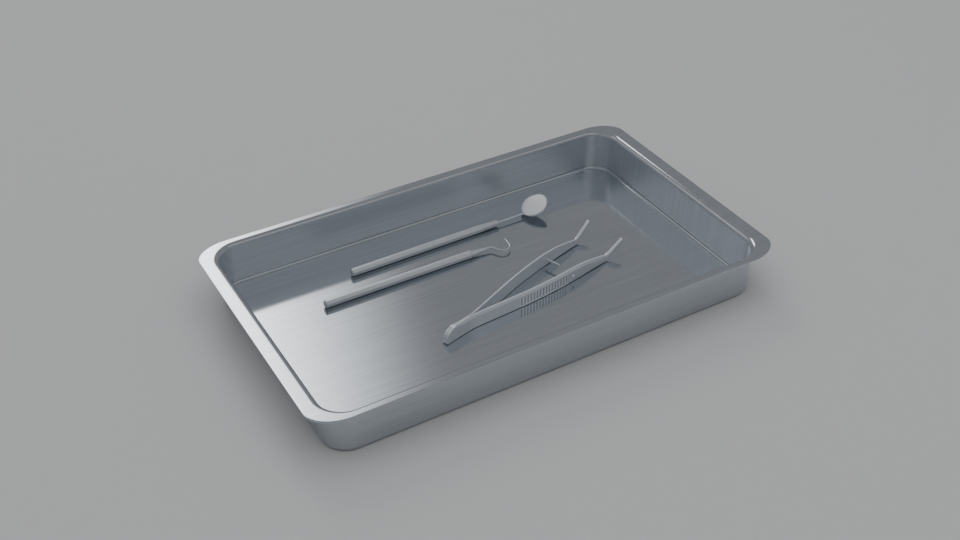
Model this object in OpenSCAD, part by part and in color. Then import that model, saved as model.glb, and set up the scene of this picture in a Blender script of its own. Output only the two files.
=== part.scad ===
// Stainless instrument tray with a mouth mirror, an explorer and tweezers lying in it.
// Millimetres. The origin is at the middle of the tray's underside: +X along the tray,
// +Y across it, +Z up.

/* [Tray] */
// Length of the pan, outside its end walls
pan_l = 318; // [265:1:382]
// Width of the pan, outside its side walls
pan_w = 186; // [155:1:224]
// Height from the underside to the top of the rim
pan_h = 33; // [27:0.5:60]
// Thickness of the pressed sheet
sheet = 1; // [0.6:0.1:1.6]
// Outside radius of the pan's upright corners
pan_corner_r = 18; // [12:0.5:30]
// Inside radius between the floor and the walls
floor_r = 2.2; // [1:0.1:4]
// Upper radius of the roll from the wall out to the rim
lip_r = 3; // [2:0.1:4.5]
// How far the rim reaches past the end walls
rim_end = 11; // [6:0.5:20]
// How far the rim reaches past the side walls
rim_side = 5.5; // [4.5:0.5:15]
// Reach of the rim's corner curve along the tray
rim_corner_x = 24; // [12:0.5:40]
// Reach of the rim's corner curve across the tray
rim_corner_y = 16; // [12:0.5:40]

/* [Handles] */
// Gap between the tray's floor and what lies on it
rest_gap = 0.3; // [0.1:0.1:1]
// Width of the octagonal handles across their flats
handle_af = 5.5; // [4.6:0.1:6.8]
// Chamfer on the handles' ends
handle_chamfer = 0.5; // [0.2:0.1:0.9]

/* [Mouth mirror] */
// Place of the handle's rear end along the tray
mirror_x = -73.7; // [-100:0.1:-60]
// Place of the handle's rear end across the tray
mirror_y = 58.4; // [40:0.1:60]
// Turn of the mirror away from the tray's length
mirror_turn = 0.5; // [-3:0.1:3]
// Length of the handle
mirror_handle_l = 118; // [98:1:142]
// Length of the taper turned on the handle's front
mirror_taper_l = 18; // [8:1:30]
// Diameter of the handle's front face
mirror_nose_d = 4; // [3.6:0.1:4.5]
// Diameter of the stem
stem_d = 1.7; // [1.2:0.1:1.9]
// Diameter of the stem's threaded end
thread_d = 2; // [1.9:0.1:2.6]
// Length of the threaded end
thread_l = 7; // [4:0.5:10]
// Radial clearance of the thread in its socket
thread_clear = 0.05; // [0.02:0.01:0.1]
// Distance along the stem from the handle's front to the middle of the glass
cup_reach = 31.6; // [25:0.1:40]
// Height of the middle of the glass above the stem
cup_rise = 4.9; // [3:0.1:6]
// Tilt of the glass from the stem's line, in degrees
cup_tilt = 25; // [20:1:45]
// Outside diameter of the cup
cup_d = 20.6; // [17:0.1:24.8]
// Thickness of the cup, back to lip
cup_t = 1.9; // [1.5:0.1:2.4]
// Thickness of the cup's lip round the glass
cup_lip = 0.6; // [0.4:0.1:1]
// Thickness of the mirror glass
glass_t = 0.8; // [0.5:0.1:1]
// How far the glass lies below the lip
glass_inset = 0.1; // [0:0.05:0.3]
// How far the brazed end of the stem goes into the cup's wall
braze_depth = 0.3; // [0.1:0.1:0.35]

/* [Explorer] */
// Place of the handle's rear end along the tray
probe_x = -104.2; // [-120:0.1:-80]
// Place of the handle's rear end across the tray
probe_y = 35.9; // [20:0.1:40]
// Turn of the explorer away from the tray's length
probe_turn = 0; // [-3:0.1:3]
// Length of the handle
probe_handle_l = 112; // [93:1:135]
// Diameter of the tapered shank where it meets the handle
shank_d = 5; // [4:0.1:5.2]
// Length of the tapered shank
shank_l = 15.5; // [10:0.5:25]
// Diameter of the tang pressed into the handle
tang_d = 3; // [2:0.1:3.4]
// Length of the tang
tang_l = 14; // [8:1:25]
// Diameter of the wire after the shank
wire_d = 1.6; // [1:0.1:2]
// Radius of the wire's first bend
bend_r = 2.2; // [1.5:0.1:4]
// Angle of the first bend, in degrees
bend_angle = 59; // [30:1:75]
// Length of the straight wire between the bends
slant_l = 5; // [3:0.5:8]
// Diameter of the wire in the hook
hook_d = 1.3; // [0.8:0.1:1.6]
// Radius of the hook
hook_r = 5.3; // [4:0.1:7]
// Angle that the hook turns through, in degrees
hook_angle = 143; // [120:1:160]
// Length of the sharp end past the hook
point_l = 7; // [4:0.5:9]
// Diameter at the sharp end
point_d = 0.4; // [0.2:0.1:0.6]

/* [Tweezers] */
// Place of the heel along the tray
tweezers_x = -53.5; // [-80:0.1:-40]
// Place of the heel across the tray
tweezers_y = -36.6; // [-50:0.1:-30]
// Turn of the tweezers away from the tray's length
tweezers_turn = 14.3; // [8:0.1:20]
// Length from the heel to the points
arm_l = 157.2; // [131:0.1:188]
// Width of an arm at the grip
arm_w = 10.4; // [8.7:0.1:12.4]
// Thickness of an arm
arm_t = 2.4; // [2:0.1:2.9]
// Thickness of an arm at the heel
heel_t = 2.1; // [1.7:0.1:2.4]
// Radius of the heel's upper corner
heel_r = 9; // [5:0.5:9]
// Radius of the heel's lower corner
heel_low_r = 1.2; // [0.5:0.1:3]
// Length over which the two arms are welded together
weld_l = 19.2; // [13:0.1:23]
// Place where the spring bend of each arm is hinged
hinge_u = 25.2; // [24:0.1:28]
// Gap at the hinge
hinge_gap = 0.4; // [0.3:0.05:0.6]
// Sideways slope of the arms behind the grip
spread = 0.18; // [0.15:0.01:0.2]
// Sideways slope of the arms in front of the grip
front_slope = 0.03; // [0:0.01:0.05]
// Sideways slope of the points
point_slope = 0.1; // [0.05:0.01:0.12]
// Upward slope of the points
point_rise = 0.62; // [0.4:0.01:0.8]
// Width at the neck
neck_w = 5.8; // [4.5:0.1:7]
// Width at the bend of the points
bend_w = 4; // [3:0.1:5]
// Width of the blunt points
point_w = 2.2; // [1.6:0.1:3]
// Gap left between the points when the arms are squeezed
closed_gap = 0.3; // [0.2:0.1:1]
// Number of ribs on each grip
ribs = 16; // [8:1:18]
// Distance from rib to rib
rib_pitch = 2.6; // [2:0.1:3]
// Width of the grooves between the ribs
groove_w = 1.2; // [0.6:0.1:1.6]
// Depth of the grooves
groove_depth = 0.4; // [0.2:0.05:0.7]
// Height of the ribbed band's lower edge
rib_low = 0.9; // [0.5:0.1:2]
// Height of the ribbed band's upper edge
rib_high = 7; // [5:0.1:8]
// Diameter of the guide pin
pin_d = 1.7; // [1.4:0.1:1.9]
// How far the guide pin stands out of the far arm
pin_reach = 12; // [8:0.5:13]
// Diameter of the guide hole in the near arm
guide_hole_d = 2.8; // [2.7:0.1:3.4]
// How far the guide hole lies in front of the pin, for the arms' swing
guide_shift = 0.25; // [0:0.05:0.5]
// Distance of the guide pin from the points
pin_from_points = 48.3; // [44:0.1:56]
// Distance from the guide pin back to the nearest rib
rib_from_pin = 7.6; // [6:0.1:12]

/* [Hidden] */
$fn = 48;
eps = 0.01;
// the turned profile of a handle clears the octagon's edges by this much
turn_over = 0.2;
// the beads at the wire's joins stand out by this much across
bead_over = 0.06;

// tray
lip_out = lip_r - sheet;
fillet_out = floor_r + sheet;
arc_steps = 8;
// how far the walls' section runs into the floor and the flat rim
wall_lap = 1;
rim_l = pan_l + 2 * rim_end;
rim_w = pan_w + 2 * rim_side;

// handles
axis_z = sheet + rest_gap + handle_af / 2;
octagon_d = handle_af / cos(22.5);

// mirror
socket_depth = thread_l + 0.4;
recess_depth = glass_t + glass_inset;
glass_d = cup_d - 2 * cup_lip - 0.1;

// explorer: corners of the wire's centre line
bend_u = probe_handle_l + shank_l;
slant_start = [bend_u + bend_r * sin(bend_angle), -bend_r * (1 - cos(bend_angle))];
slant_end = slant_start + slant_l * [cos(bend_angle), -sin(bend_angle)];
hook_centre = slant_end + hook_r * [sin(bend_angle), cos(bend_angle)];
hook_from = 270 - bend_angle;
hook_to = hook_from + hook_angle;
point_start = hook_centre + hook_r * [cos(hook_to), sin(hook_to)];
point_heading = hook_angle - bend_angle;

// tweezers: slope of the outer face sideways, and of the middle line upwards,
// each as [distance from the heel, slope]
side_slopes = [[0, 0], [weld_l, 0], [weld_l + 11, spread], [weld_l + 42, spread],
    [arm_l - 44, front_slope], [arm_l - 20, front_slope],
    [arm_l - 14, point_slope], [arm_l, point_slope]];
up_slopes = [[0, 0], [arm_l - 52, 0], [arm_l - 39, -0.045], [arm_l - 27, -0.12],
    [arm_l - 18, -0.12], [arm_l - 12, point_rise], [arm_l, point_rise]];
// half the width of an arm, as [distance from the heel, half width]
half_widths = [[heel_r, arm_w / 2], [arm_l - 52, arm_w / 2],
    [arm_l - 39, arm_w * 0.46], [arm_l - 30, neck_w * 0.65], [arm_l - 22, neck_w / 2],
    [arm_l - 15, bend_w / 2], [arm_l, point_w / 2]];
thicknesses = [[0, heel_t], [hinge_u, heel_t], [hinge_u + 20, arm_t], [arm_l, arm_t]];

// area under a list of [place, slope] from the first place up to u
function area(u, k, i = 0) =
    i >= len(k) - 2 || u <= k[i + 1][0]
        ? (u - k[i][0]) * (k[i][1] + lookup(u, k)) / 2
        : (k[i + 1][0] - k[i][0]) * (k[i][1] + k[i + 1][1]) / 2 + area(u, k, i + 1);
function outer_v(u) = heel_t + area(u, side_slopes);
function inner_v(u) = max(0, outer_v(u) - lookup(u, thicknesses));
function middle_w(u) = arm_w / 2 + area(u, up_slopes);
function heading(u) = atan(lookup(u, side_slopes));

hinge_v = outer_v(hinge_u) - heel_t / 2;
close_angle = atan((inner_v(arm_l) - closed_gap / 2) / (arm_l - hinge_u));
pin_u = arm_l - pin_from_points;
last_rib_u = pin_u - rib_from_pin;
pin_w = middle_w(pin_u);
// height above the middle line, with the arms squeezed, of the far arm's inner face at the pin
pin_root_v = inner_v(pin_u) - (pin_u - hinge_u) * tan(close_angle) + 0.2;
// the stations at which the arm's outlines are worked out, closer together at the points
stations = concat([0, heel_r, weld_l],
    [for (i = [0 : 22]) weld_l + 1 + (arm_l - 52 - weld_l) * i / 22],
    [for (i = [1 : 24]) arm_l - 51 + 51 * i / 24]);
edge_stations = [for (u = stations) if (u > heel_r) u];

// ---------- tray ----------

// a rectangle with round corners, centred
module round_rectangle(l, w, r) {
    square([l - 2 * r, w], center = true);
    square([l, w - 2 * r], center = true);
    for (x = [-1, 1], y = [-1, 1])
        translate([x * (l / 2 - r), y * (w / 2 - r)]) circle(r);
}

// the rim's outline: straight sides and quarter-ellipse corners
module rim_outline() {
    steps = 12;
    polygon([for (q = [0 : 3], i = [0 : steps])
        let (a = 90 * (q + i / steps),
            sx = (q == 0 || q == 3) ? 1 : -1,
            sy = q < 2 ? 1 : -1)
        [sx * (rim_l / 2 - rim_corner_x) + rim_corner_x * cos(a),
            sy * (rim_w / 2 - rim_corner_y) + rim_corner_y * sin(a)]]);
}

// points of an arc round [cx, cy] from angle a to angle b
function arc(cx, cy, r, a, b) =
    [for (i = [0 : arc_steps]) let (t = a + (b - a) * i / arc_steps)
        [cx + r * cos(t), cy + r * sin(t)]];

// section through a wall: the fillet from the floor, the wall and the roll out to the rim,
// with x measured outwards from the wall's outer face
module wall_section() {
    polygon(concat(
        [[-fillet_out - wall_lap, 0]],
        arc(-fillet_out, fillet_out, fillet_out, 270, 360),
        arc(lip_out, pan_h - lip_r, lip_out, 180, 90),
        [[lip_out + wall_lap, pan_h - sheet], [lip_out + wall_lap, pan_h]],
        arc(lip_out, pan_h - lip_r, lip_r, 90, 180),
        arc(-fillet_out, fillet_out, floor_r, 360, 270),
        [[-fillet_out - wall_lap, sheet]]));
}

// one straight wall of the given length, facing +X
module straight_wall(l) {
    rotate([90, 0, 0]) translate([0, 0, -l / 2]) linear_extrude(l) wall_section();
}

module tray() {
    color([0.55, 0.58, 0.62]) {
        // floor
        linear_extrude(sheet)
            round_rectangle(pan_l - 2 * fillet_out, pan_w - 2 * fillet_out,
                pan_corner_r - fillet_out);
        // walls
        for (s = [0, 180]) rotate([0, 0, s]) {
            translate([pan_l / 2, 0, 0]) straight_wall(pan_w - 2 * pan_corner_r);
            rotate([0, 0, 90]) translate([pan_w / 2, 0, 0])
                straight_wall(pan_l - 2 * pan_corner_r);
        }
        // corners
        for (q = [0 : 3])
            translate([(q == 0 || q == 3 ? 1 : -1) * (pan_l / 2 - pan_corner_r),
                (q < 2 ? 1 : -1) * (pan_w / 2 - pan_corner_r), 0])
                rotate([0, 0, 90 * q])
                    rotate_extrude(angle = 90)
                        translate([pan_corner_r, 0]) wall_section();
        // flat rim
        translate([0, 0, pan_h - sheet])
            linear_extrude(sheet) difference() {
                rim_outline();
                round_rectangle(pan_l + 2 * lip_out, pan_w + 2 * lip_out,
                    pan_corner_r + lip_out);
            }
    }
}

// ---------- handles ----------

// lays what stands along +Z down along +X
module lay() {
    rotate([0, 90, 0]) children();
}

// an octagonal bar along +X with a chamfered rear end and a front turned down to nose_d
module octagonal_handle(l, taper_l, nose_d) {
    turned_r = octagon_d / 2 + turn_over;
    rear_r = handle_af / 2 - handle_chamfer;
    intersection() {
        lay() rotate([0, 0, 22.5]) cylinder(h = l, d = octagon_d, $fn = 8);
        lay() rotate_extrude() polygon([[0, 0], [rear_r, 0], [turned_r, turned_r - rear_r],
            [turned_r, l - taper_l], [nose_d / 2, l], [0, l]]);
    }
}

// ---------- mouth mirror ----------

module place_mirror() {
    translate([mirror_x, mirror_y, axis_z]) rotate([0, 0, mirror_turn]) children();
}

// the cup's own frame: the middle of its lip, +Z out of the glass
module place_cup() {
    translate([mirror_handle_l + cup_reach, 0, cup_rise]) rotate([0, -cup_tilt, 0]) children();
}

// octagonal handle with the threaded socket for the stem
module mirror_handle() {
    color([0.72, 0.75, 0.79]) place_mirror() difference() {
        octagonal_handle(mirror_handle_l, mirror_taper_l, mirror_nose_d);
        translate([mirror_handle_l - socket_depth, 0, 0]) lay()
            cylinder(h = socket_depth + eps, d = thread_d + 2 * thread_clear);
    }
}

// thin stem: threaded end in the handle, front end brazed to the cup's wall
module mirror_stem() {
    color([0.75, 0.78, 0.82]) place_mirror() difference() {
        union() {
            translate([mirror_handle_l - thread_l, 0, 0]) lay() cylinder(h = thread_l, d = thread_d);
            translate([mirror_handle_l - eps, 0, 0]) lay() cylinder(h = cup_reach - 6, d = stem_d);
        }
        place_cup() translate([0, 0, -cup_d / 2])
            cylinder(h = cup_d, d = cup_d - 2 * braze_depth, $fn = 96);
    }
}

// round cup that holds the glass
module mirror_cup() {
    color([0.75, 0.78, 0.82]) place_mirror() place_cup() difference() {
        translate([0, 0, -cup_t]) cylinder(h = cup_t, d = cup_d, $fn = 96);
        translate([0, 0, -recess_depth])
            cylinder(h = recess_depth + eps, d = cup_d - 2 * cup_lip, $fn = 96);
    }
}

// silvered glass disc
module mirror_glass() {
    color([0.86, 0.9, 0.93]) place_mirror() place_cup()
        translate([0, 0, -recess_depth]) cylinder(h = glass_t, d = glass_d, $fn = 96);
}

// ---------- explorer ----------

module place_probe() {
    translate([probe_x, probe_y, axis_z]) rotate([0, 0, probe_turn]) children();
}

// octagonal handle with the bore that the tang is pressed into
module probe_handle() {
    color([0.72, 0.75, 0.79]) place_probe() difference() {
        octagonal_handle(probe_handle_l, 1.2, shank_d + 0.3);
        translate([probe_handle_l - tang_l, 0, 0]) lay() cylinder(h = tang_l + eps, d = tang_d);
    }
}

// a bead that rounds the join of two lengths of wire
module bead(p, d) {
    translate([p[0], p[1], 0]) sphere(d = d + bead_over);
}

// the explorer's working end: tang, tapered shank, bent wire and hook, in one piece
module probe_tip() {
    color([0.75, 0.78, 0.82]) place_probe() {
        translate([probe_handle_l - tang_l, 0, 0]) lay() cylinder(h = tang_l, d = tang_d);
        translate([probe_handle_l, 0, 0]) lay() cylinder(h = shank_l, d1 = shank_d, d2 = wire_d);
        bead([bend_u, 0], wire_d);
        translate([bend_u, -bend_r, 0]) rotate([0, 0, 90 - bend_angle])
            rotate_extrude(angle = bend_angle) translate([bend_r, 0]) circle(d = wire_d);
        bead(slant_start, wire_d);
        translate([slant_start[0], slant_start[1], 0]) rotate([0, 0, -bend_angle]) lay()
            cylinder(h = slant_l, d1 = wire_d, d2 = hook_d);
        bead(slant_end, hook_d);
        translate([hook_centre[0], hook_centre[1], 0]) rotate([0, 0, hook_from])
            rotate_extrude(angle = hook_angle) translate([hook_r, 0]) circle(d = hook_d);
        bead(point_start, hook_d);
        translate([point_start[0], point_start[1], 0]) rotate([0, 0, point_heading]) lay()
            cylinder(h = point_l, d1 = hook_d, d2 = point_d);
    }
}

// ---------- tweezers ----------

module place_tweezers() {
    translate([tweezers_x, tweezers_y, sheet + rest_gap]) rotate([0, 0, tweezers_turn]) children();
}

// far arm seen from above: its outer face bows out, its inner face touches the other at the heel
module arm_plan() {
    polygon(concat(
        [for (u = stations) [u, outer_v(u)]],
        [for (i = [len(stations) - 1 : -1 : 0]) [stations[i], inner_v(stations[i])]]));
}

// either arm seen from the side: rounded heel, even grip, narrow neck, points bent up
module arm_side() {
    top = [for (u = edge_stations) let (a = atan(lookup(u, up_slopes)), b = lookup(u, half_widths))
        [u - b * sin(a), middle_w(u) + b * cos(a)]];
    bottom = [for (u = edge_stations) let (a = atan(lookup(u, up_slopes)), b = lookup(u, half_widths))
        [u + b * sin(a), middle_w(u) - b * cos(a)]];
    polygon(concat(
        arc(heel_r, arm_w - heel_r, heel_r, 90, 180),
        arc(heel_low_r, heel_low_r, heel_low_r, 180, 270),
        bottom, [for (i = [len(top) - 1 : -1 : 0]) top[i]]));
}

// a whole far arm, from the heel to the point, with its ribs
module whole_arm() {
    tall = arm_w + arm_l;
    difference() {
        intersection() {
            linear_extrude(tall) arm_plan();
            translate([0, arm_l / 2, 0]) rotate([90, 0, 0]) linear_extrude(arm_l) arm_side();
        }
        for (i = [0.5 : ribs - 1.5])
            let (u = last_rib_u - rib_pitch * i)
            translate([u, outer_v(u), (rib_low + rib_high) / 2]) rotate([0, 0, heading(u)])
                cube([groove_w, 2 * groove_depth, rib_high - rib_low], center = true);
    }
}

// an upright bar of radius r on the far arm's hinge axis
module hinge_bar(r) {
    translate([hinge_u, hinge_v, -1]) cylinder(h = arm_w + 2, r = r);
}

// the part of a far arm in front of the hinge, with a round root
module front_part() {
    intersection() {
        whole_arm();
        union() {
            translate([hinge_u, -eps, -1]) cube([arm_l, arm_l, arm_l]);
            hinge_bar(heel_t / 2 - eps);
        }
    }
}

// the part of a far arm behind the hinge, hollowed for the other's round root
module heel_part() {
    difference() {
        intersection() {
            whole_arm();
            translate([-1, -eps, -1]) cube([hinge_u + 1, arm_l, arm_l]);
        }
        hinge_bar(heel_t / 2 + hinge_gap);
    }
}

// turns what is drawn with the far arm squeezed to the place it has with the arm at rest
module far_arm_at_rest() {
    translate([hinge_u, hinge_v, 0]) rotate([0, 0, close_angle]) translate([-hinge_u, -hinge_v, 0])
        children();
}

// a round bar across the squeezed arms at u, from v_from above their middle line down
module cross_bar(u, d, v_from, l) {
    translate([u, v_from, pin_w]) rotate([90, 0, 0]) cylinder(h = l, d = d);
}

module far_arm_heel() {
    color([0.7, 0.73, 0.77]) place_tweezers() heel_part();
}
module near_arm_heel() {
    color([0.7, 0.73, 0.77]) place_tweezers() mirror([0, 1, 0]) heel_part();
}

// far arm, with the bore that the guide pin is riveted into
module far_arm() {
    color([0.7, 0.73, 0.77]) place_tweezers() difference() {
        front_part();
        far_arm_at_rest() cross_bar(pin_u, pin_d, arm_l / 2, arm_l);
    }
}

// near arm, with the guide hole that the pin passes into
module near_arm() {
    color([0.7, 0.73, 0.77]) place_tweezers() mirror([0, 1, 0]) difference() {
        front_part();
        far_arm_at_rest() cross_bar(pin_u + guide_shift, guide_hole_d, arm_l / 2, arm_l);
    }
}

// guide pin, riveted flush in the far arm
module guide_pin() {
    color([0.8, 0.82, 0.85]) place_tweezers() {
        intersection() {
            far_arm_at_rest() cross_bar(pin_u, pin_d, arm_l / 2, arm_l);
            front_part();
        }
        far_arm_at_rest() cross_bar(pin_u, pin_d, pin_root_v, pin_reach);
    }
}

tray();
mirror_handle();
mirror_stem();
mirror_cup();
mirror_glass();
probe_handle();
probe_tip();
near_arm_heel();
far_arm_heel();
near_arm();
far_arm();
guide_pin();
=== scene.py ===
"""Stainless instrument tray with a mouth mirror, an explorer and spring tweezers lying in it."""
import math

import bpy
import numpy as np
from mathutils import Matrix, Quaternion, Vector


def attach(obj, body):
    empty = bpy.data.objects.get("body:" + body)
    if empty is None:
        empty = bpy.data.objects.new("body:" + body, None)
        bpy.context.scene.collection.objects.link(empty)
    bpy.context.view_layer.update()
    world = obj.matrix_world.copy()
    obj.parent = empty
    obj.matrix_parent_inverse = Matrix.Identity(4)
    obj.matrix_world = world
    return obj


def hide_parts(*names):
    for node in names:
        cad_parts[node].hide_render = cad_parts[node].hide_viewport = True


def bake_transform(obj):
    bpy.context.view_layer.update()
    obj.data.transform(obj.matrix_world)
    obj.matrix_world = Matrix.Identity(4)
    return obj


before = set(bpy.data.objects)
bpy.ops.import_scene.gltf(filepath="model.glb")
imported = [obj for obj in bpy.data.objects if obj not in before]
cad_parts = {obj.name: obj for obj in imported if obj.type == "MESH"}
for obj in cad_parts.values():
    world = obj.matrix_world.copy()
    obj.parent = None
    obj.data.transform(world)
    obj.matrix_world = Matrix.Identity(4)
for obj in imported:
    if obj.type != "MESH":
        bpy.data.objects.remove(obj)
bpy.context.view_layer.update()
mm = 0.001

# ---------------------------------------------------------------- viewpoint
# The camera looks down into the tray from its near left side.
azimuth, elevation, distance = math.radians(-30.739), math.radians(36.892), 0.8502
target = Vector((0.00694, 0.0213, 0.0))
back = Vector((math.sin(azimuth) * math.cos(elevation), -math.cos(azimuth) * math.cos(elevation),
               math.sin(elevation)))
camera = bpy.data.objects.new("camera", bpy.data.cameras.new("camera"))
camera.data.sensor_width = 36.0
camera.data.lens = 45.92
camera.data.clip_start, camera.data.clip_end = 0.01, 50.0
camera.location = target + back * distance
camera.rotation_mode = "QUATERNION"
camera.rotation_quaternion = ((-back).to_track_quat("-Z", "Y")
                              @ Quaternion((0, 0, 1), math.radians(0.2)))
bpy.context.collection.objects.link(camera)
bpy.context.scene.camera = camera

# ---------------------------------------------------------------- the tray
# One sheet of stainless steel, drawn into a pan with upright walls, round corners and a
# wide flat rim. The sheet was brushed lengthwise before it was drawn, so the fine lines
# run along the floor, on along the side walls and up the end walls.

sheet = 1.0
pan_l, pan_w, pan_h, pan_corner = 318.0, 186.0, 33.0, 18.0
rim_l, rim_w = 340.0, 197.0
rim_corner_x, rim_corner_y = 24.0, 16.0
floor_in, floor_out = 2.2, 3.2
roll_side, roll_end = 3.0, 3.8
edge_round = 0.22


def arc(cx, cy, r, a, b, n):
    """n + 1 points on a circle round (cx, cy) from angle a to angle b, in degrees."""
    t = np.radians(np.linspace(a, b, n + 1))
    return np.stack([cx + r * np.cos(t), cy + r * np.sin(t)], 1)


def mesh_object(name, points, faces):
    """A smooth mesh object at the origin from points in millimetres and lists of indices."""
    data = bpy.data.meshes.new(name)
    data.from_pydata((np.asarray(points, float) * mm).tolist(), [], faces)
    data.update()
    data.polygons.foreach_set("use_smooth", np.ones(len(data.polygons), bool))
    made = bpy.data.objects.new(name, data)
    bpy.context.collection.objects.link(made)
    return made


def closed_skin(rows, first, last):
    """Points and faces of a closed surface. The rows are closed loops of points, each joined
    to the next by quads. A fan of triangles joins the first row to the point first, and
    another joins the last row to the point last."""
    count, n = rows.shape[:2]
    here = np.arange(n)
    after = (here + 1) % n
    row = n * np.arange(count - 1)[:, None]
    quads = np.stack([row + here, row + after, row + n + after, row + n + here], -1)
    base, middle = (count - 1) * n, np.full(n, count * n)
    fans = np.stack([np.stack([middle, after, here], 1),
                     np.stack([middle + 1, base + here, base + after], 1)], 1)
    points = np.vstack([rows.reshape(-1, 3), first, last])
    return points, quads.reshape(-1, 4).tolist() + fans.reshape(-1, 3).tolist()


def outward_faces(made):
    """Turns the faces of a closed mesh outwards if they point in, by the sign of its volume."""
    data = made.data
    data.calc_loop_triangles()
    tri = np.empty(len(data.loop_triangles) * 3, np.int32)
    data.loop_triangles.foreach_get("vertices", tri)
    co = np.empty(len(data.vertices) * 3)
    data.vertices.foreach_get("co", co)
    p = co.reshape(-1, 3)[tri.reshape(-1, 3)]
    if np.einsum("ij,ij->i", p[:, 0], np.cross(p[:, 1], p[:, 2])).sum() < 0:
        data.flip_normals()
    data.update()


def point_values(made, name, values):
    """An attribute that holds one number for each point."""
    layer = made.data.attributes.new(name, "FLOAT", "POINT")
    layer.data.foreach_set("value", np.asarray(values, np.float32))


def plan_line(straight, corner):
    """Parameters round the tray: for each spoke its quadrant, the share along the straight
    run, and the angle of its outward direction. Straight runs and corners alternate."""
    share = np.concatenate([np.arange(straight) / straight, np.ones(corner)])
    turn = np.concatenate([np.zeros(straight), 90.0 * np.arange(corner) / corner])
    quadrant = np.repeat(np.arange(4.0), straight + corner)
    return np.stack([quadrant, np.tile(share, 4), np.tile(turn, 4)], 1)


def round_rectangle(spokes, half_l, half_w, rx, ry):
    """Points of a rectangle with round corners, one for each spoke. Each quadrant is one
    straight side and the corner after it, turned by its multiple of 90 degrees: the distance
    out is the side's, the distance along grows by the share, and the corner is an ellipse."""
    q, share, turn = spokes[:, 0].astype(int), spokes[:, 1], np.radians(spokes[:, 2])
    long_side = (q % 2) == 1
    run = np.where(long_side, half_l - rx, half_w - ry)
    a, b = np.where(long_side, ry, rx), np.where(long_side, rx, ry)
    out = np.where(long_side, half_w - ry, half_l - rx) + a * np.cos(turn)
    along = -run + 2 * run * share + b * np.sin(turn)
    heading = np.radians(90.0 * q)
    return np.stack([out * np.cos(heading) - along * np.sin(heading),
                     out * np.sin(heading) + along * np.cos(heading)], 1)


def tray_shell():
    """The sheet as a closed shell. Each ring is the pan's wall line moved outwards by a
    distance and lifted to a height: the inside surface runs from the middle of the floor
    through the fillet, the wall and the roll to the rim's edge, and the underside runs back.
    With each point comes its place on the flat sheet: as far out from the wall line as the
    sheet is long up to there. The last value is how many points lie on the upper side."""
    spokes = plan_line(40, 24)
    n = len(spokes)
    wall = round_rectangle(spokes, pan_l / 2, pan_w / 2, pan_corner, pan_corner)
    edge = round_rectangle(spokes, rim_l / 2, rim_w / 2, rim_corner_x, rim_corner_y)
    bearing = np.radians(90.0 * spokes[:, 0] + spokes[:, 2])
    normal = np.stack([np.cos(bearing), np.sin(bearing)], 1)
    roll = roll_side + (roll_end - roll_side) * normal[:, 0] ** 2
    rings, flat = [], []

    def moved(distance):
        return wall + normal * np.broadcast_to(distance, n)[:, None]

    def add(place, height, unrolled):
        rings.append(np.column_stack([place, np.broadcast_to(height, n)]))
        flat.append(unrolled)

    margin = 0.4
    floor_edge = moved(-floor_out - margin)
    fillet_l = floor_in * math.pi / 2
    wall_start = fillet_l - floor_out
    roll_start = wall_start + (pan_h - roll) - floor_out
    fillet_steps, roll_steps, edge_steps = 12, 14, 3
    heights = (floor_out + margin, 10.0, 17.0, 24.0, 28.0)

    for share in (0.35, 0.7, 0.93, 1.0):
        add(floor_edge * share, sheet, floor_edge * share)
    for k, (x, z) in enumerate(arc(-floor_out, floor_out, floor_in, -90, 0, fillet_steps)):
        add(moved(x), z, moved(fillet_l * k / fillet_steps - floor_out))
    for z in heights:
        add(moved(-sheet), z, moved(wall_start + z - floor_out))
    for k in range(roll_steps + 1):
        t = math.pi / 2 * k / roll_steps
        add(moved(roll - sheet - roll * math.cos(t)), pan_h - roll + roll * math.sin(t),
            moved(roll_start + roll * t))
    start = moved(roll - sheet)
    rim = edge - normal * edge_round - start
    for share in (0.08, 0.5, 0.9):
        add(start + rim * share, pan_h, start + rim * share)
    for t in np.linspace(0, math.pi / 2, edge_steps + 1):
        place = edge - normal * edge_round * (1 - math.sin(t))
        add(place, pan_h - edge_round + edge_round * math.cos(t), place)
    upper = len(rings) * n
    for t in np.linspace(0, math.pi / 2, edge_steps + 1):
        place = edge - normal * edge_round * (1 - math.cos(t))
        add(place, pan_h - sheet + edge_round - edge_round * math.sin(t), place)
    for share in (0.9, 0.5, 0.08):
        add(start + rim * share, pan_h - sheet, start + rim * share)
    for k in range(roll_steps, -1, -1):
        t = math.pi / 2 * k / roll_steps
        under = roll - sheet
        add(moved(under - under * math.cos(t)), pan_h - roll + under * math.sin(t),
            moved(roll_start + roll * t))
    for z in heights[::-1]:
        add(moved(0.0), z, moved(wall_start + z - floor_out))
    for k, (x, z) in enumerate(arc(-floor_out, floor_out, floor_out, 0, -90, fillet_steps)):
        add(moved(x), z, moved(wall_start - fillet_l * k / fillet_steps))
    for share in (1.0, 0.93, 0.7, 0.35):
        add(floor_edge * share, 0.0, floor_edge * share)

    points, faces = closed_skin(np.array(rings), [0, 0, sheet], [0, 0, 0])
    return points, faces, np.vstack(flat + [np.zeros((2, 2))]), upper


points, faces, places, upper = tray_shell()
tray = mesh_object("tray_sheet", points, faces)
point_values(tray, "inside", np.arange(len(points)) < upper)
outward_faces(tray)


def flat_sheet_uv(made, uv):
    """A UV map that holds, for each point, its place on the flat sheet in metres."""
    layer = made.data.uv_layers.new(name="sheet")
    index = np.empty(len(made.data.loops), np.int32)
    made.data.loops.foreach_get("vertex_index", index)
    layer.data.foreach_set("uv", (np.asarray(uv, np.float32)[index] * mm).ravel())


flat_sheet_uv(tray, places)


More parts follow.
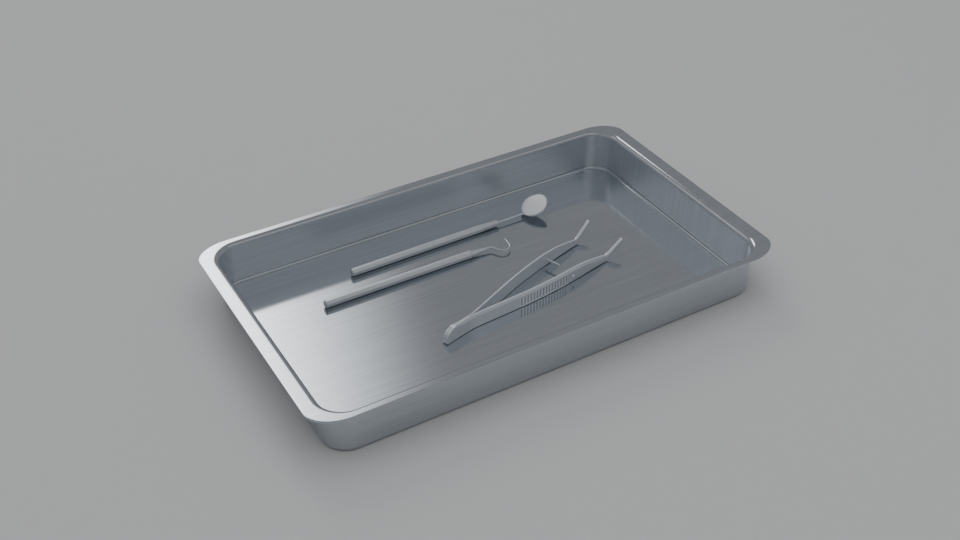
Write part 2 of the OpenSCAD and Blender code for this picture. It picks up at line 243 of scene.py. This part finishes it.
class Link:
    """A node socket that Python's operators work on: each operation adds one Math node."""

    def __init__(self, shader, socket):
        self.shader, self.socket = shader, socket

    def math(self, operation, other):
        return self.shader.node("Math", {"operation": operation}, {0: self, 1: other})

    def __add__(self, other):
        return self.math("ADD", other)

    def __mul__(self, other):
        return self.math("MULTIPLY", other)

    def __sub__(self, other):
        return self.math("SUBTRACT", other)

    def __rsub__(self, other):
        return (self * -1.0) + other


class Shader:
    """One material's node tree. node() adds any node: its settings first, then its sockets."""

    def __init__(self, name):
        self.material = bpy.data.materials.new(name)
        self.material.use_nodes = True
        self.tree = self.material.node_tree
        self.tree.nodes.clear()

    def node(self, kind, settings=None, values=None, output=0):
        made = self.tree.nodes.new("ShaderNode" + kind)
        for key, value in (settings or {}).items():
            setattr(made, key, value)
        for key, value in (values or {}).items():
            if isinstance(value, Link):
                self.tree.links.new(value.socket, made.inputs[key])
            else:
                made.inputs[key].default_value = value
        return Link(self, made.outputs[output])

    def surface(self, **values):
        sockets = {key.replace("_", " "): value for key, value in values.items()}
        shader = self.node("BsdfPrincipled", None, sockets)
        self.to_output(shader)
        return self.material

    def to_output(self, shader):
        out = self.tree.nodes.new("ShaderNodeOutputMaterial")
        self.tree.links.new(shader.socket, out.inputs["Surface"])


def brushed(name, tint, roughness, lines, source, strength, streak=0.06, coarse=0.03,
            metal=1.0, drawn=0.0, dulled=0.0, wall_painted_light=0.0, painted_light=0.0):
    """Brushed steel: long thin noise streaks shift its brightness and its roughness, and a
    fine bump of the given strength catches the light. The pattern lies on the flat sheet's
    map where source is uv, else in the object's own space, and lines is its scale along each
    axis. Brightness is 1 plus or minus streak by the thin noise and coarse by
    a wider one, and roughness moves with the thin noise by a share of itself.
    metal is how clean the metal is of its dull grey film. Inner walls that a die drew are
    rougher than the floor by the value drawn, their film is heavier by dulled, and their colour
    is lightened by the share wall_painted_light, a painted light for the brighter light they catch.
    The point attribute painted_light, times the share painted_light, paints a highlight on rib
    crests and painted shade in the grooves between them and in a bored hole."""
    s = Shader(name)
    if source == "uv":
        place = s.node("UVMap", {"uv_map": "sheet"})
    else:
        place = s.node("TexCoord", None, None, "Object")
    fine = s.node("Mapping", None, {"Vector": place, "Scale": lines})
    wider, roughness_share = 0.22, 0.35
    broad = s.node("Mapping", None, {"Vector": place, "Scale": [v * wider for v in lines]})
    thin = s.node("TexNoise", {"noise_dimensions": "3D"},
                  {"Vector": fine, "Scale": 1.0, "Detail": 3.0, "Roughness": 0.6})
    wide = s.node("TexNoise", {"noise_dimensions": "3D"},
                  {"Vector": broad, "Scale": 1.0, "Detail": 2.0, "Roughness": 0.5})
    level = (thin - 0.5) * (2 * streak) + (wide - 0.5) * (2 * coarse) + 1.0
    rough = (thin - 0.5) * (roughness * roughness_share) + roughness
    # painted light and shade from a point attribute: highlights on rib crests, shade in rib grooves and
    # in a bored hole
    if painted_light:
        painted_mark = s.node("Attribute", {"attribute_name": "painted_light"}, None, 2)
        level = level * (painted_mark * painted_light + 1.0)
    if drawn:
        height = s.node("SeparateXYZ", None, {0: s.node("TexCoord", None, None, "Object")}, 2)
        up_wall = s.node("MapRange", {"interpolation_type": "SMOOTHSTEP"},
                         {0: height, 1: sheet * mm, 2: 2 * floor_out * mm, 3: 0.0, 4: 1.0})
        below_rim = s.node("MapRange", {"interpolation_type": "SMOOTHSTEP"},
                           {0: height, 1: (pan_h - roll_side) * mm, 2: (pan_h - 0.5) * mm,
                            3: 1.0, 4: 0.0})
        wall = up_wall * below_rim * s.node("Attribute", {"attribute_name": "inside"}, None, 2)
        rough = rough + wall * drawn
        metal = metal - wall * dulled
        # painted light: the inner walls' colour is lightened to stand in for the brighter light they
        # catch
        level = level * (wall * wall_painted_light + 1.0)
    shade = s.node("Mix", {"data_type": "RGBA", "blend_type": "MULTIPLY"},
                   {0: 1.0, 6: (*tint, 1.0), 7: s.node("CombineColor", None,
                                                       {0: level, 1: level, 2: level})}, 2)
    bump = s.node("Bump", None, {"Strength": strength, "Distance": 0.02 * mm, "Height": thin})
    return s.surface(Base_Color=shade, Metallic=metal, Roughness=rough, Normal=bump)


# the tray's inner walls get a painted light, a colour lightened by the last share
tray_steel = brushed("tray_steel", (0.55, 0.583, 0.625), 0.10, (14.0, 1500.0, 1.0), "uv", 0.04,
                     streak=0.2, coarse=0.08, metal=0.95, drawn=0.24, dulled=0.22, wall_painted_light=0.18)
tray.data.materials.append(tray_steel)
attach(tray, "tray")
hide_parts("tray")

# ---------------------------------------------------------------- octagonal handles
# Both handles are drawn octagonal bar with softened edges, brushed crosswise on a belt.
# The ends are chamfered, and the mirror's handle is turned down to a short taper in front.

across, axis_z = 5.5, 4.05


def octagon(turned, softened=0.28, flat_steps=4, corner_steps=4):
    """One section of the bar: eight flats whose corners are small arcs, drawn in to the
    radius turned wherever they would stand out further."""
    middle = (across / 2 - softened) / math.cos(math.radians(22.5))
    centre = np.radians(22.5 + 45 * np.arange(8))[:, None]
    a = np.radians(45 * np.arange(8)[:, None] + np.linspace(0, 45, corner_steps + 1))
    corners = np.stack([middle * np.cos(centre) + softened * np.cos(a),
                        middle * np.sin(centre) + softened * np.sin(a)], -1)
    start, stop = corners[:, -1:], np.roll(corners, -1, axis=0)[:, :1]
    flats = start + (stop - start) * np.linspace(0, 1, flat_steps + 1)[1:-1, None]
    loop = np.concatenate([corners, flats], 1).reshape(-1, 2)
    return loop * np.minimum(1.0, turned / np.hypot(*loop.T))[:, None]


def place_along(points, origin, turn):
    """Points given along, across and up from a handle's rear end, put in the tray's frame."""
    a = math.radians(turn)
    x, y, z = points[:, 0], points[:, 1], points[:, 2]
    return np.stack([origin[0] + x * math.cos(a) - y * math.sin(a),
                     origin[1] + x * math.sin(a) + y * math.cos(a), origin[2] + z], 1)


def handle_bar(name, spots, origin, turn, bore):
    """A closed octagonal bar with one section at each spot, which is a station along the axis
    and the radius turned there. The bore is a blind hole in the front, given as its radius
    and depth, with a small chamfer at its mouth. The rows run from the hole's end outwards
    and back to the rear."""
    stations, sections = [x for x, _ in spots], [octagon(r) for _, r in spots]
    (radius, depth), mouth, chamfer = bore, stations[-1], 0.15
    around = np.arctan2(sections[-1][:, 1], sections[-1][:, 0])
    hole = np.stack([np.cos(around), np.sin(around)], 1)
    sections = np.array(sections + [hole * (radius + chamfer), hole * radius, hole * radius])
    stations = np.array(stations + [mouth, mouth - chamfer, mouth - depth])
    along = np.broadcast_to(stations[:, None, None], sections.shape[:2] + (1,))
    rows = np.concatenate([along, sections], -1)[::-1]
    points, faces = closed_skin(rows, [stations[-1], 0, 0], [stations[0], 0, 0])
    made = mesh_object(name, place_along(points, origin, turn), faces)
    outward_faces(made)
    crease(made, 30)
    return made


def crease(made, angle):
    """Edges that turn by more than the angle stay sharp."""
    made.data.set_sharp_from_angle(angle=math.radians(angle))


def handle_stations(length, taper, nose, chamfer=0.5):
    """Stations along a handle and the radius it is turned to at each: a small rounded
    chamfer at the rear, the plain bar, then the taper and its rounded front edge."""
    rear, full = across / 2 - chamfer, across / 2 / math.cos(math.radians(22.5))
    unturned, top = full + 1, full + 0.02
    spots = [(0.0, rear - 0.25), (0.03, rear - 0.1), (0.12, rear), (0.12 + full - rear, full),
             (1.5, unturned), (4.0, unturned)]
    spots += [(x, unturned) for x in np.arange(10.0, length - taper - 1, 6.0)]
    spots += [(length - taper + (taper - 0.45) * share, top + (nose / 2 + 0.25 - top) * share)
              for share in np.linspace(0, 1, 41)]
    spots += [(length - 0.1, nose / 2), (length - 0.02, nose / 2 - 0.08), (length, nose / 2 - 0.2)]
    return spots


mirror_rear, mirror_turn, mirror_length = (-73.7, 58.4, axis_z), 0.5, 118.0
mirror_bar = handle_bar("mirror_bar", handle_stations(mirror_length, 18.0, 4.0),
                        mirror_rear, mirror_turn, (1.05, 7.4))
probe_rear, probe_length = (-104.2, 35.9, axis_z), 112.0
probe_bar = handle_bar("probe_bar", handle_stations(probe_length, 1.3, 5.3),
                       probe_rear, 0.0, (1.5, 14.0))
handle_steel = brushed("handle_steel", (0.59, 0.628, 0.672), 0.3, (1300.0, 60.0, 60.0), "object",
                       0.02, streak=0.03, coarse=0.03, metal=0.6)
for bar, body, node in ((mirror_bar, "mouth_mirror", "mirror_handle"),
                        (probe_bar, "explorer", "probe_handle")):
    bar.data.materials.append(handle_steel)
    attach(bar, body)
    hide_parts(node)

# ---------------------------------------------------------------- the mirror's head
# A thin stem screws into the handle and is brazed to the wall of a round cup. The cup's
# lip is rolled over a disc of silvered glass, tilted back towards the handle.

stem_d, thread_d, thread_l = 1.7, 2.0, 7.0
cup_d, cup_t, cup_tilt, cup_reach, cup_rise = 20.6, 1.9, 25.0, 31.6, 4.9


def tube(name, line, radii, origin, turn, sides=24):
    """A round wire along a line: each ring stands square to the line's direction there."""
    line = np.asarray(line, float)
    step = np.gradient(line, axis=0)
    step /= np.linalg.norm(step, axis=1)[:, None]
    side = np.cross(step, [0, 0, 1.0])
    side /= np.linalg.norm(side, axis=1)[:, None]
    up = np.cross(side, step)
    a = np.linspace(0, 2 * math.pi, sides, endpoint=False)[None, :, None]
    radii = np.asarray(radii, float)[:, None, None]
    rows = line[:, None] + radii * (side[:, None] * np.cos(a) + up[:, None] * np.sin(a))
    points, faces = closed_skin(rows, line[0], line[-1])
    made = mesh_object(name, place_along(points, origin, turn), faces)
    outward_faces(made)
    return made


end = cup_reach - cup_d / 2 * math.cos(math.radians(cup_tilt)) + 0.15
root_x, root_r = np.transpose([(-thread_l, 0.8), (-thread_l + 0.2, thread_d / 2),
                               (-4.0, thread_d / 2), (-0.3, thread_d / 2),
                               (0.0, stem_d / 2), (0.2, stem_d / 2)])
share = np.linspace(0.05, 1.0, 24)
flare, stem_lift = 0.12, 0.28
stem_x = mirror_length + np.concatenate([root_x, end * share])
stem_z = np.concatenate([0 * root_x, stem_lift * share ** 3])
stem_r = np.concatenate([root_r, stem_d / 2 + flare * np.maximum(0, share - 0.9) / 0.1])
stem = tube("stem", np.stack([stem_x, 0 * stem_x, stem_z], 1), stem_r, mirror_rear, mirror_turn)
crease(stem, 40)


def turned(name, profile, tilt, centre, origin, turn, around=96):
    """A turned part: its profile of radius and height, which starts and ends on the axis, goes
    round the axis, and the axis leans back by tilt."""
    profile = np.asarray(profile, float)
    a = np.linspace(0, 2 * math.pi, around, endpoint=False)
    r, z = profile[1:-1, :1], profile[1:-1, 1:]
    rows = np.stack([r * np.cos(a), r * np.sin(a), z + 0 * a], -1)
    points, faces = closed_skin(rows, [0, 0, profile[0, 1]], [0, 0, profile[-1, 1]])
    t = math.radians(tilt)
    x, y, z = points.T
    points = np.stack([x * math.cos(t) - z * math.sin(t), y, x * math.sin(t) + z * math.cos(t)], 1)
    made = mesh_object(name, place_along(points + np.asarray(centre), origin, turn), faces)
    outward_faces(made)
    return made


lip, inset, glass_t, base_r = 0.6, 0.1, 0.8, 0.7
radius = cup_d / 2
middle = (mirror_length + cup_reach, 0.0, cup_rise)
seat = -inset - glass_t
cup_profile = np.vstack([[(0, -cup_t), (radius - 1.2, -cup_t)],
                         arc(radius - base_r, base_r - cup_t, base_r, -90, 0, 8),
                         [(radius, -0.6)],
                         arc(radius - lip / 2, -lip / 2, lip / 2, 0, 180, 12),
                         [(radius - lip, seat), (0, seat)]])
cup = turned("cup", cup_profile, cup_tilt, middle, mirror_rear, mirror_turn)
crease(cup, 20)
glass_r = radius - lip - 0.05
glass_profile = [(0, seat), (glass_r, seat), (glass_r, -inset - 0.15),
                 (glass_r - 0.05, -inset - 0.04), (glass_r - 0.2, -inset), (0, -inset)]
glass = turned("glass", glass_profile, cup_tilt, middle, mirror_rear, mirror_turn)
crease(glass, 8)

polished = brushed("polished_steel", (0.70, 0.735, 0.775), 0.16, (300.0, 300.0, 300.0), "object",
                   0.02, streak=0.02, coarse=0.02, metal=0.75)
silvered = Shader("silvered_glass")
cloud = silvered.node("TexNoise", None, {
    "Vector": silvered.node("TexCoord", None, None, "Object"), "Scale": 220.0, "Detail": 2.0})
silver = silvered.surface(Base_Color=(0.585, 0.61, 0.64, 1.0), Metallic=1.0,
                          Roughness=(cloud - 0.5) * 0.02 + 0.14, Coat_Weight=0.3)
for piece, node, finish, slot in ((stem, "mirror_stem", polished, "bright_steel"),
                                  (cup, "mirror_cup", polished, "bright_steel"),
                                  (glass, "mirror_glass", silver, "mirror_glass")):
    piece.data.materials.append(finish)
    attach(piece, "mirror_head")
    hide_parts(node)

# ---------------------------------------------------------------- the explorer's tip
# One piece of hard steel wire: a tang pressed into the handle, a ground cone, and a thin
# wire bent down and round into a hook with a sharp point.

shank_l, shank_d, wire_d, hook_d, point_d = 15.5, 5.0, 1.6, 1.3, 0.4
bend_r, bend_angle, slant_l, hook_r, hook_angle, point_l = 2.2, 59.0, 5.0, 5.3, 143.0, 7.0


def wire_run():
    """The wire's centre line as straight runs and arcs, each as its length and its turn in
    degrees (down is negative), cut into short steps and added up; with the radius at each."""
    runs = [(bend_r * math.radians(bend_angle), -bend_angle, wire_d, wire_d, 14),
            (slant_l, 0.0, wire_d, hook_d, 8),
            (hook_r * math.radians(hook_angle), hook_angle, hook_d, hook_d * 0.9, 44),
            (point_l, 0.0, hook_d * 0.9, point_d, 16)]
    moves, radii = [[(probe_length + shank_l, 0.0)]], [[wire_d / 2]]
    heading = 0.0
    for length, turn, d1, d2, steps in runs:
        k = np.arange(steps)
        a = np.radians(heading + turn * (k + 0.5) / steps)
        moves.append(length / steps * np.stack([np.cos(a), np.sin(a)], 1))
        radii.append((d1 + (d2 - d1) * (k + 1) / steps) / 2)
        heading += turn
    return np.cumsum(np.concatenate(moves), axis=0), np.concatenate(radii)


run, run_r = wire_run()
root_x, root_r = np.transpose([(-14.0, 1.2), (-13.8, 1.5), (-8.0, 1.5), (-0.15, 1.5),
                               (0.0, 1.6), (0.02, shank_d / 2 - 0.1), (0.12, shank_d / 2)])
share = np.linspace(0.03, 1.0, 30)[:-1]
ease = share - 0.06 * np.sin(math.pi * share) * (1 - share)
shank_x = probe_length + np.concatenate([root_x, shank_l * share])
tip_line = np.vstack([np.stack([shank_x, 0 * shank_x], 1), run, run[-1] + (0.02, 0.12)])
tip_r = np.concatenate([root_r, (shank_d + (wire_d - shank_d) * ease) / 2, run_r, [0.06]])
tip = tube("explorer_tip", np.pad(tip_line, ((0, 0), (0, 1))), tip_r, probe_rear, 0.0)
crease(tip, 40)
tip.data.materials.append(polished)
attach(tip, "explorer")
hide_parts("probe_tip")

# ---------------------------------------------------------------- tweezers
# Two forged strips of spring steel, welded face to face at the heel. Each bows out to a
# ribbed grip, narrows to a neck and ends in a blunt point bent upwards. The upper outer
# edge is ground to a shoulder. Squeezing bends each strip just in front of the weld.

heel, heel_turn, floor_gap = np.array([-53.5, -36.6]), 14.3, 1.3
arm_l, arm_w, arm_t, heel_t, weld_l, hinge_u = 157.2, 10.4, 2.4, 2.1, 19.2, 25.2
side_slopes = ([0, weld_l, weld_l + 11, weld_l + 42, arm_l - 44, arm_l - 20, arm_l - 14, arm_l],
               [0, 0, 0.18, 0.18, 0.03, 0.03, 0.1, 0.1])
up_slopes = ([0, arm_l - 52, arm_l - 39, arm_l - 27, arm_l - 18, arm_l - 12, arm_l],
             [0, 0, -0.045, -0.12, -0.12, 0.62, 0.62])
half_widths = ([0, arm_l - 52, arm_l - 39, arm_l - 30, arm_l - 22, arm_l - 15, arm_l],
               [arm_w / 2, arm_w / 2, arm_w * 0.46, 5.8 * 0.65, 2.9, 2.0, 1.1])
thicknesses = ([0, hinge_u, hinge_u + 20, arm_l], [heel_t, heel_t, arm_t, arm_t])
rib_count, rib_pitch, rib_low, rib_high, rib_end, groove = 16, 2.6, 0.9, 7.6, 0.3, 0.5
pin_u = arm_l - 48.3
last_groove = pin_u - 7.6
heel_top_r, heel_low_r, end_round, end_draw = 9.0, 1.2, 0.7, 0.32
shoulder_w, shoulder_v, shoulder_start, shoulder_stop = 1.9, 1.15, 4.0, 12.0
# painted shade for the guide hole's wall: a dark colour standing in for the shadow inside the bore
bore_shade = -3.0


def quarter(r, x):
    """Height of a circle of radius r at the distance x from its middle."""
    return np.sqrt(np.maximum(0, r ** 2 - x ** 2))


def climb(u, slopes):
    """Height gained along u under a slope that runs in straight lines between its knots."""
    fine = np.linspace(0, arm_l, 6001)
    slope = np.interp(fine, *slopes)
    total = np.concatenate([[0], np.cumsum((slope[1:] + slope[:-1]) / 2 * np.diff(fine))])
    return np.interp(u, fine, total)


def outer_v(u):
    """Distance of the outer face from the middle plane."""
    return heel_t + climb(u, side_slopes)


def inner_v(u):
    """Distance of the inner face from the middle plane, none where the arms are welded."""
    return np.maximum(0.0, outer_v(u) - np.interp(u, *thicknesses))


def arm_section(steps):
    """One section of the strip, from the outer face's lower edge over the top and down the
    inner face. Each row has the share across (0 inside, 1 outside), the height as a share of
    the half width, and the small moves in millimetres that round the four edges."""
    soft = 0.25

    def corner(out, height, start):
        moves = arc(0, 0, soft, start, start + 90, 3) - soft * np.array([2 * out - 1, height])
        return np.column_stack([np.full(4, out), np.full(4, height), moves])

    def flat(out, shares):
        return np.column_stack([np.full(len(shares), out), 2.0 * shares - 1.0,
                                np.zeros((len(shares), 2))])

    return np.concatenate([corner(1.0, -1.0, -90), flat(1.0, np.linspace(0.03, 0.97, steps)),
                           corner(1.0, 1.0, 0), corner(0.0, 1.0, 90),
                           flat(0.0, np.linspace(0.9, 0.1, 6)), corner(0.0, -1.0, 180)])


def strip(side):
    """A whole arm as a grid: stations along u, sections across. side is 1 for the far arm
    and -1 for the near one. v is out from the middle plane and w is up from the middle line.
    Near the top edge the outer face falls back in proportion to the height, which is the
    shoulder. The grooves between the ribs are a clipped cosine along u, in a band of heights."""
    first_groove = last_groove - (rib_count - 1) * rib_pitch
    ribs_start, ribs_end = first_groove - 2.0, last_groove + 2.0
    u = np.concatenate([np.linspace(0, 1, 30)[:-1] ** 1.6 * heel_top_r,
                        np.arange(heel_top_r, ribs_start, 0.5),
                        np.arange(ribs_start, ribs_end, 0.13),
                        np.arange(ribs_end, arm_l - end_round, 0.5),
                        arm_l - np.array([end_round, 0.55, 0.42, 0.3, 0.2, 0.12, 0.06, 0.02, 0.0])])
    outer, inner = outer_v(u)[:, None], inner_v(u)[:, None]
    half = np.interp(u, *half_widths)
    low, high = -half, half.copy()
    # the heel's upper corner is a large arc and its lower one a small arc
    at_top, at_low = u < heel_top_r, u < heel_low_r
    high[at_top] = arm_w / 2 - heel_top_r + quarter(heel_top_r, heel_top_r - u[at_top])
    low[at_low] = -arm_w / 2 + heel_low_r - quarter(heel_low_r, heel_low_r - u[at_low])
    high = np.maximum(high, low + 0.02)
    mid, reach = ((high + low) / 2)[:, None], ((high - low) / 2)[:, None]
    # the blunt end: the last stations draw in to a rounded edge
    ending = np.minimum(1.0, (arm_l - u) / end_round)[:, None]
    shrink = 1 - end_draw * (1 - quarter(1.0, 1 - ending))
    out, height, move_v, move_w = arm_section(44).T
    limit = np.minimum(1.0, reach / 0.5)
    w = mid + reach * shrink * height + move_w * limit
    v = inner + (outer - inner) * out + move_v * limit
    middle_v = (inner + outer) / 2
    v = middle_v + (v - middle_v) * shrink
    # the ground shoulder
    present = (np.clip((u - shoulder_start) / 10, 0, 1)
               * np.clip((arm_l - shoulder_stop - u) / 8, 0, 1))
    v -= shoulder_v * np.clip(1 - (reach + mid - w) / shoulder_w, 0, 1) * present[:, None] * out
    # the ribs
    phase = (u - first_groove) / rib_pitch
    cut = np.clip(0.5 + 1.6 * np.cos(2 * math.pi * phase), 0, 1)
    cut *= ((phase > -0.5) & (phase < rib_count - 0.5))
    above_edge = w + arm_w / 2
    band = (np.clip((above_edge - rib_low) / rib_end, 0, 1)
            * np.clip((rib_high - above_edge) / rib_end, 0, 1))
    carved = cut[:, None] * band * out
    v -= groove * carved
    lean = np.arctan(np.interp(u, *up_slopes))[:, None]
    centre = (arm_w / 2 + climb(u, up_slopes))[:, None]
    along, sideways = u[:, None] - np.sin(lean) * w, side * v
    t = math.radians(heel_turn)
    rows = np.stack([heel[0] + along * math.cos(t) - sideways * math.sin(t),
                     heel[1] + along * math.sin(t) + sideways * math.cos(t),
                     centre + np.cos(lean) * w + floor_gap], -1)
    points, faces = closed_skin(rows, rows[0].mean(0), rows[-1].mean(0))
    made = mesh_object("near_strip" if side < 0 else "far_strip", points, faces)
    # painted light and shade: 1 on a rib's crest for a painted highlight, -1 in a groove for painted
    # shade and 0 away from the ribs
    ribbed = (np.abs(phase - (rib_count - 1) / 2) < rib_count / 2)[:, None] * band * out
    point_values(made, "painted_light", np.append(ribbed * (1 - 2 * carved), [0, 0]))
    outward_faces(made)
    crease(made, 35)
    return made


def on_tweezers(u, v, w):
    """A place given along, across and above the tweezers, in the tray's frame in metres."""
    t = math.radians(heel_turn)
    return Vector((heel[0] + u * math.cos(t) - v * math.sin(t),
                   heel[1] + u * math.sin(t) + v * math.cos(t), floor_gap + w)) * mm


# A guide pin is riveted into the far arm and slides through a hole in the near one. Both
# are square to the arms when they are squeezed together, so both stand askew at rest.
pin_d, hole_d, hole_shift, pin_reach, closed_gap = 1.7, 2.8, 0.25, 12.0, 0.3
pin_seat = 0.2
hinge_v = float(outer_v(hinge_u)) - heel_t / 2
closing = math.atan((float(inner_v(arm_l)) - closed_gap / 2) / (arm_l - hinge_u))
pin_w = arm_w / 2 + float(climb(pin_u, up_slopes))
pin_root = float(inner_v(pin_u)) - (pin_u - hinge_u) * math.tan(closing) + pin_seat


def across_arm(u, v, side):
    """A place on a line square to a squeezed arm at u, turned out with the arm to its rest."""
    du, dv = u - hinge_u, v - hinge_v
    return on_tweezers(hinge_u + du * math.cos(closing) - dv * math.sin(closing),
                       side * (hinge_v + du * math.sin(closing) + dv * math.cos(closing)), pin_w) / mm


def bore_hole(made, start, stop, d):
    """Cuts a round hole of diameter d through a strip along the line from start to stop. The
    hole's wall gets painted shade, a dark colour standing in for the shadow in the bore, set by
    bore_shade."""
    drill = tube("drill", np.linspace(start, stop, 5), [d / 2] * 5, (0, 0, 0), 0.0, sides=40)
    point_values(drill, "painted_light", np.full(len(drill.data.vertices), bore_shade))
    cut = made.modifiers.new("hole", "BOOLEAN")
    cut.object, cut.operation, cut.solver = drill, "DIFFERENCE", "EXACT"
    graph = bpy.context.evaluated_depsgraph_get()
    pierced = bpy.data.meshes.new_from_object(made.evaluated_get(graph))
    made.modifiers.clear()
    made.data = pierced
    bpy.data.objects.remove(drill)
    crease(made, 35)


# the last share sets how strongly the painted highlight on rib crests and the painted shade in grooves
# and in the hole show
tweezers_steel = brushed("tweezers_steel", (0.73, 0.772, 0.82), 0.24, (420.0, 420.0, 120.0), "object",
                         0.02, streak=0.03, coarse=0.04, metal=0.5, painted_light=0.28)
for side, arm_node in ((1, "far_arm"), (-1, "near_arm")):
    arm = strip(side)
    if side < 0:
        bore_hole(arm, *(across_arm(pin_u + hole_shift, v, side) for v in (-8.0, 8.0)), hole_d)
    arm.data.materials.append(tweezers_steel)
    on_tweezers(18.7, side * 1.3, 5)
    on_tweezers(31.7, side * 2, 5)
    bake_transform(arm)
    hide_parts(arm_node, arm_node + "_heel")

pin_top = pin_root - pin_seat + arm_t + 0.05
pin_spots = [(pin_top, 0.6), (pin_top - 0.04, pin_d / 2), (pin_root, pin_d / 2)]
pin_spots += [(pin_root - pin_reach * share, pin_d / 2) for share in (0.3, 0.6, 0.9)]
pin_spots += [(pin_root - pin_reach + pin_d / 2 * (1 - math.sin(a)), max(0.06, pin_d / 2 * math.cos(a)))
              for a in np.radians(np.linspace(0, 88, 9))]
guide = tube("guide_rod", [across_arm(pin_u, v, 1) for v, _ in pin_spots], [r for _, r in pin_spots],
             (0, 0, 0), 0.0)
crease(guide, 40)
guide.data.materials.append(polished)
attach(guide, "far_arm")
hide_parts("guide_pin")

# ---------------------------------------------------------------- stage
# A plain pale floor, a bright panel behind the tray and weaker ones to its left and in
# front, all with feathered edges, an even, dim surround, and a square light overhead that
# is hidden from reflections, so that only dull surfaces show it.

floor_half, floor_drop = 3000, -0.3
floor = mesh_object("floor", [(floor_half * x, floor_half * y, floor_drop)
                              for x, y in ((-1, -1), (1, -1), (1, 1), (-1, 1))], [[0, 1, 2, 3]])
pale = Shader("pale_floor")
floor.data.materials.append(pale.surface(Base_Color=(0.62, 0.625, 0.63, 1.0), Roughness=0.9))

world = bpy.data.worlds.new("surround")
bpy.context.scene.world = world
world.use_nodes = True
surround = world.node_tree.nodes["Background"]
surround.inputs["Color"].default_value = (0.274, 0.278, 0.286, 1.0)
surround.inputs["Strength"].default_value = 1.0

overhead = bpy.data.objects.new("overhead", bpy.data.lights.new("overhead", "AREA"))
overhead.data.shape = "SQUARE"
overhead.data.size = 3.4
overhead_radiance = 0.83
overhead.data.energy = overhead_radiance * math.pi * overhead.data.size ** 2
overhead.location = (0.0, -0.2, 2.4)
overhead.visible_glossy = False
bpy.context.collection.objects.link(overhead)


def panel(name, bearing, height, far, size, strength, feather):
    """A lit panel that faces the tray from a bearing and a height in degrees. Its light
    fades out towards its left, right, lower and upper edge, over the shares of its size
    given by feather, and the four fades are multiplied."""
    a, e = math.radians(bearing), math.radians(height)
    away = Vector((math.sin(a) * math.cos(e), math.cos(a) * math.cos(e), math.sin(e)))
    right = Vector((math.cos(a), -math.sin(a), 0))
    up = right.cross(away)
    middle = away * far
    corners = [middle + right * size[0] * x + up * size[1] * y
               for x, y in ((-0.5, -0.5), (0.5, -0.5), (0.5, 0.5), (-0.5, 0.5))]
    data = bpy.data.meshes.new(name)
    data.from_pydata([tuple(c) for c in corners], [], [[0, 1, 2, 3]])
    uv = data.uv_layers.new(name="panel")
    for k, place in enumerate(((0, 0), (1, 0), (1, 1), (0, 1))):
        uv.data[k].uv = place
    made = bpy.data.objects.new(name, data)
    bpy.context.collection.objects.link(made)
    s = Shader(name)
    spot = s.node("UVMap", {"uv_map": "panel"})
    shape = 1.0
    for edge, width in enumerate(feather):
        along = s.node("SeparateXYZ", None, {0: spot}, edge // 2)
        start = edge % 2
        fade = s.node("MapRange", {"interpolation_type": "LINEAR"},
                      {0: along, 1: start, 2: start + (1 - 2 * start) * width, 3: 0.0, 4: 1.0})
        shape = fade * shape
    lit = s.node("Emission", None, {"Color": (1.0, 1.0, 1.0, 1.0), "Strength": shape * strength})
    clear = s.node("BsdfTransparent")
    s.to_output(s.node("MixShader", None, {0: shape, 1: clear, 2: lit}))
    data.materials.append(s.material)
    made.visible_camera = False
    made.visible_shadow = False


panel("back_panel", 6.0, 38.0, 3.0, (1.85, 1.4), 5.0, (0.6, 0.4, 0.1, 0.15))
panel("front_panel", 165.0, 40.0, 3.0, (5.0, 2.6), 0.45, (0.2, 0.2, 0.2, 0.2))
panel("left_panel", -50.0, 36.0, 3.0, (2.6, 1.6), 0.62, (0.3, 0.3, 0.2, 0.2))
